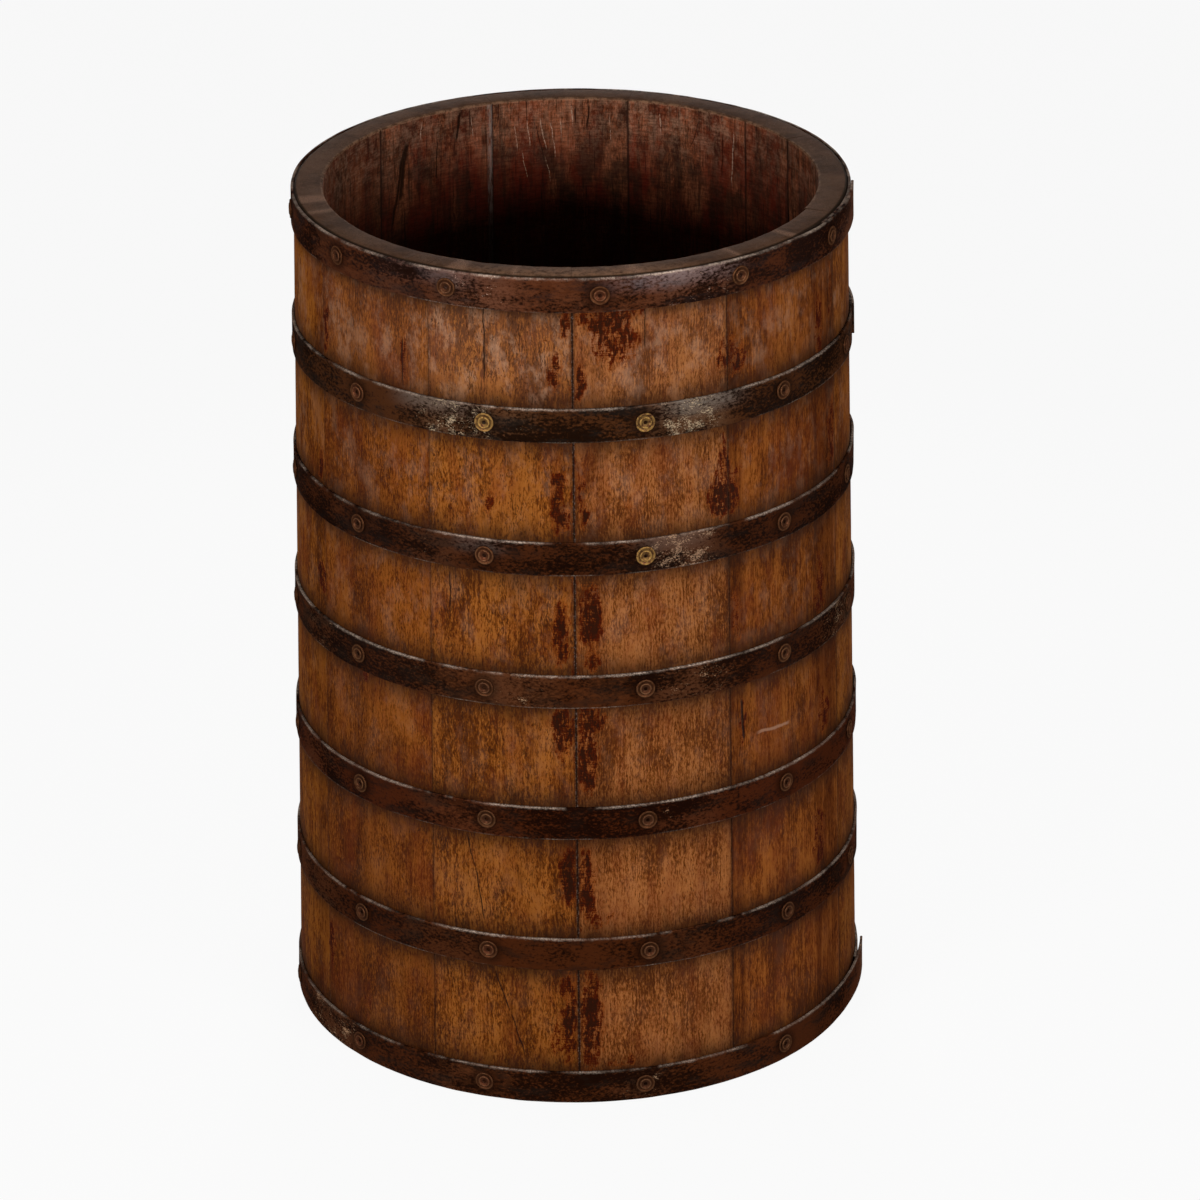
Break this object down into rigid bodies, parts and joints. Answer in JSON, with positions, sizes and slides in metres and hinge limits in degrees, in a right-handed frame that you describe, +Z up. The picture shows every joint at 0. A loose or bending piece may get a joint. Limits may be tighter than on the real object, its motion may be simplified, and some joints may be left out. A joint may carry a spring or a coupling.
{
  "type": "barrel planter",
  "caption": "Tall coopered wooden barrel planter: tapered staves round a boarded head, bound with lapped and nailed iron hoops.",
  "frame": {"origin": "centre of the foot, on the ground", "axes": "+Z up along the barrel's axis, front (the view of the picture) towards -Y, +X to the right seen from the front"},
  "size_m": [0.4109, 0.4091, 0.61],
  "materials": {
    "stave_wood": "satin waxed hardwood, stained and worn",
    "head_wood": "rough matt hardwood",
    "hoop_iron": "dark waxed iron, worn on its edges",
    "washer_brass": "tarnished",
    "nail_brass": "tarnished"
  },
  "bodies": {
    "root": {"stave_01": "stave_wood", "stave_02": "stave_wood", "stave_03": "stave_wood", "stave_04": "stave_wood", "stave_05": "stave_wood", "stave_06": "stave_wood", "stave_07": "stave_wood", "stave_08": "stave_wood", "stave_09": "stave_wood", "stave_10": "stave_wood", "stave_11": "stave_wood", "stave_12": "stave_wood", "head_board_1": "head_wood", "head_board_2": "head_wood", "head_board_3": "head_wood", "head_board_4": "head_wood", "head_dowels": "head_wood", "rim_hoop": "hoop_iron", "hoop_2": "hoop_iron", "hoop_3": "hoop_iron", "hoop_4": "hoop_iron", "hoop_5": "hoop_iron", "hoop_6": "hoop_iron", "foot_hoop": "hoop_iron", "rim_hoop_washers": "washer_brass", "hoop_2_washers": "washer_brass", "hoop_3_washers": "washer_brass", "hoop_4_washers": "washer_brass", "hoop_5_washers": "washer_brass", "hoop_6_washers": "washer_brass", "foot_hoop_washers": "washer_brass", "rim_hoop_nails": "nail_brass", "hoop_2_nails": "nail_brass", "hoop_3_nails": "nail_brass", "hoop_4_nails": "nail_brass", "hoop_5_nails": "nail_brass", "hoop_6_nails": "nail_brass", "foot_hoop_nails": "nail_brass"}
  },
  "joints": []
}
